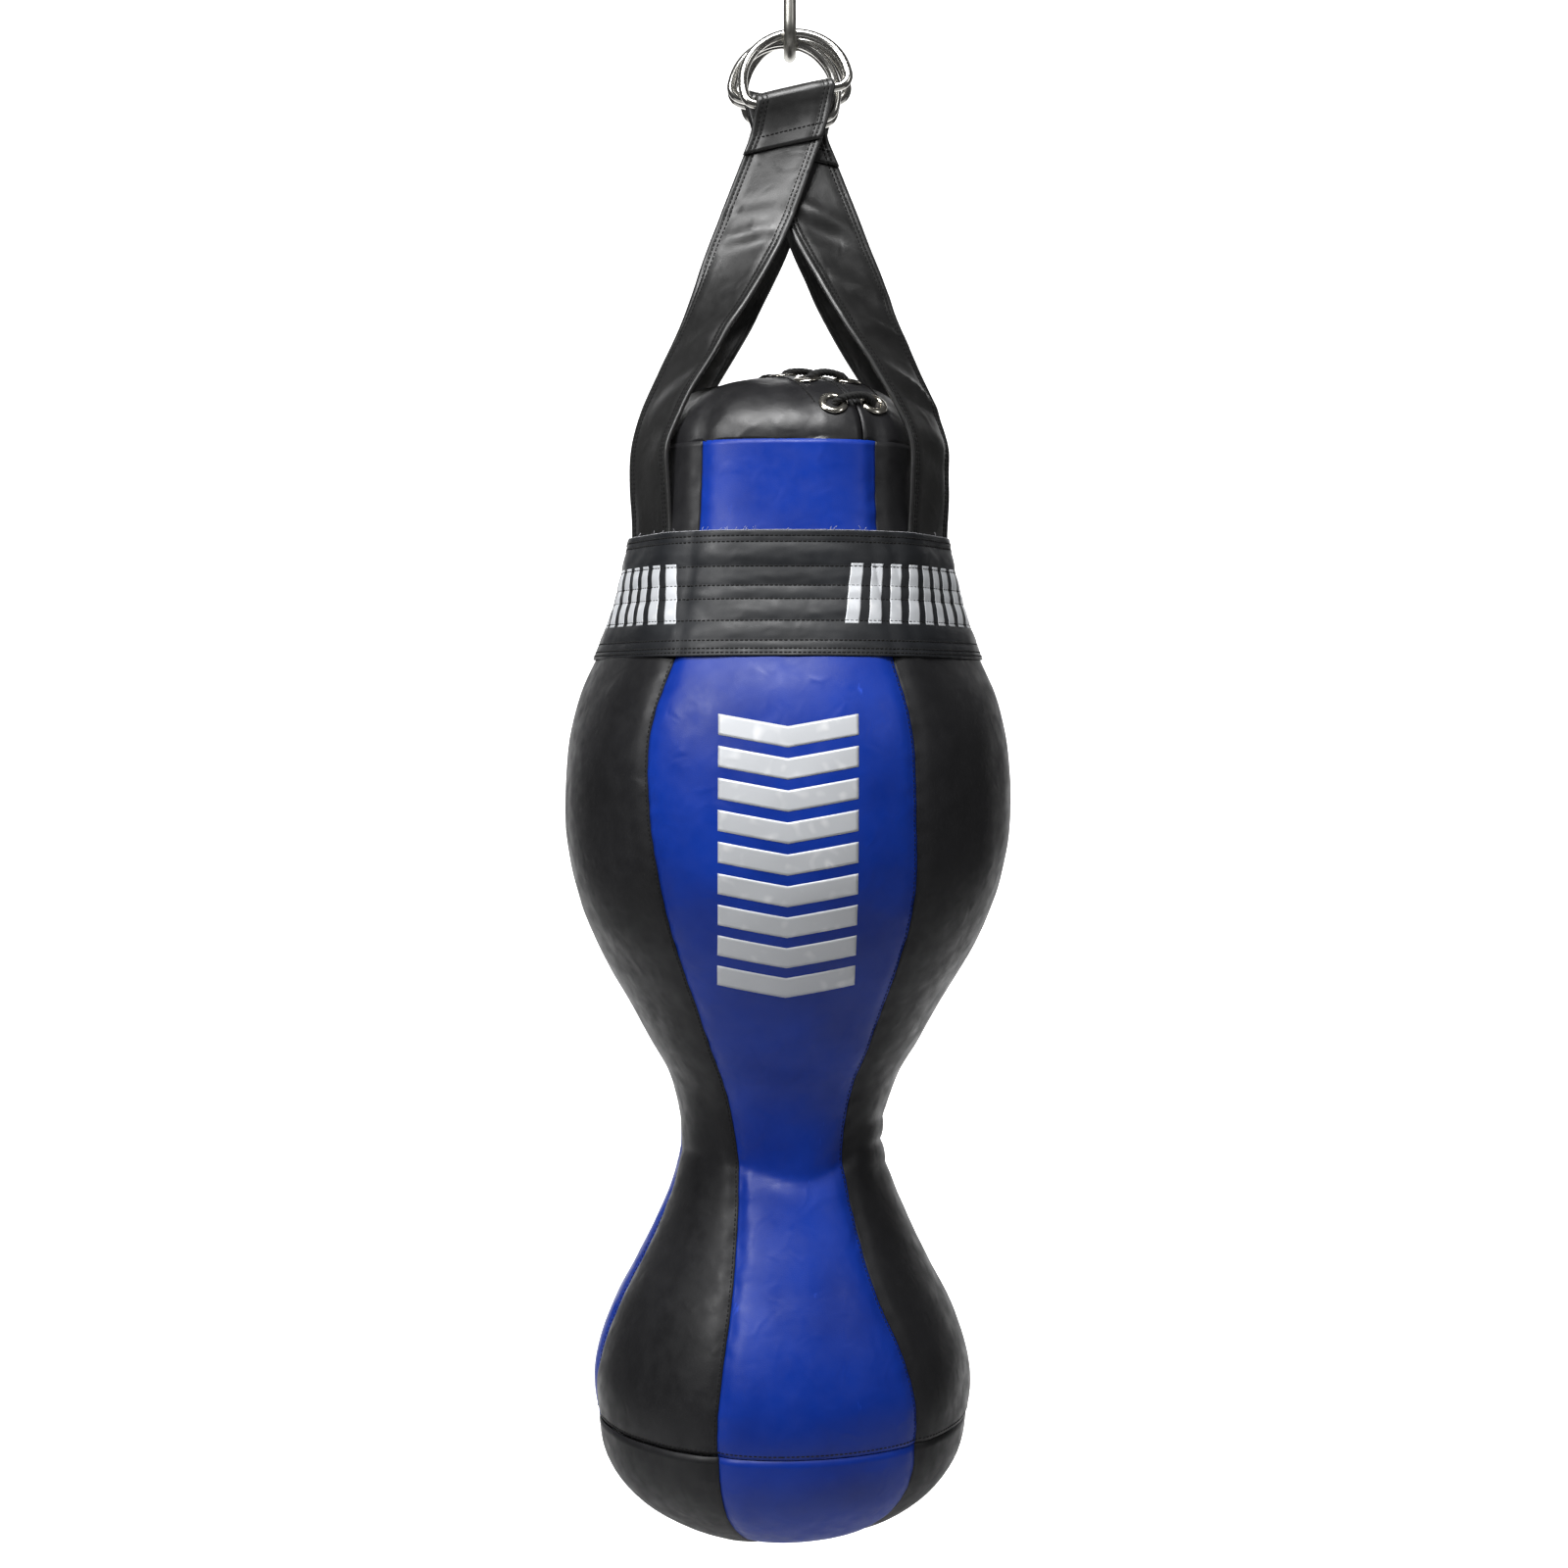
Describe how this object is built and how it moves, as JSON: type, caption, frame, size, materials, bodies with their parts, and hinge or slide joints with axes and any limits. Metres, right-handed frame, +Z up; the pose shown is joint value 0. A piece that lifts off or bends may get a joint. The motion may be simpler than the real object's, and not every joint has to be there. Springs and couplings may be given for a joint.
{
  "type": "hanging punch bag",
  "caption": "Hourglass hanging punch bag in black and blue leatherette, laced at the top, with a waist band and wide straps sewn round D-rings on a steel snap link.",
  "frame": {"origin": "the bearing point inside the link's top bend, where the bag hangs from its bracket or chain", "axes": "+Z up; the front panel faces -Y; +X is to the right seen from the front"},
  "size_m": [0.4618, 0.4616, 1.698],
  "materials": {
    "link_steel": "matte grey zinc",
    "ring_chrome": "polished",
    "strap_black": "satin leatherette",
    "panel_black": "satin leatherette",
    "panel_blue": "satin leatherette",
    "band_black": "satin leatherette",
    "lid_black": "satin leatherette",
    "eyelet_nickel": "nickel plated",
    "lace_cord": "braided",
    "foam": "plain",
    "textile_fill": "plain"
  },
  "bodies": {
    "link": {"link_frame": "link_steel", "gate_pin": "link_steel"},
    "gate": {"link_gate": "link_steel"},
    "rings": {"d_ring_front_left": "ring_chrome", "d_ring_front_right": "ring_chrome", "d_ring_rear_left": "ring_chrome", "d_ring_rear_right": "ring_chrome"},
    "bag": {"base_front": "panel_blue", "base_front_left": "panel_black", "base_front_right": "panel_black", "base_rear": "panel_black", "base_rear_left": "panel_blue", "base_rear_right": "panel_blue", "eyelets_left": "eyelet_nickel", "eyelets_right": "eyelet_nickel", "filling": "textile_fill", "foam_liner": "foam", "gore_front": "panel_blue", "gore_front_left": "panel_black", "gore_front_right": "panel_black", "gore_rear": "panel_black", "gore_rear_left": "panel_blue", "gore_rear_right": "panel_blue", "lace": "lace_cord", "lace_tongue": "lid_black", "strap_front_left": "strap_black", "strap_front_right": "strap_black", "strap_rear_left": "strap_black", "strap_rear_right": "strap_black", "top_flap_left": "lid_black", "top_flap_right": "lid_black", "waist_band": "band_black"}
  },
  "joints": [
    {"name": "gate_hinge", "type": "hinge", "parent": "link", "child": "gate", "pos_m": [0, 0.0305, -0.038], "axis": [-1, 0, 0], "range_deg": [0, 25], "stiffness_Nm_per_rad": 0.4, "springref_deg": -17.19},
    {"name": "ring_swing", "type": "hinge", "parent": "link", "child": "rings", "pos_m": [0, 0, -0.1405], "axis": [0, 1, 0], "range_deg": [-30, 30]},
    {"name": "bag_swing", "type": "hinge", "parent": "rings", "child": "bag", "pos_m": [0, 0, -0.1955], "axis": [1, 0, 0], "range_deg": [-7, 7]}
  ]
}
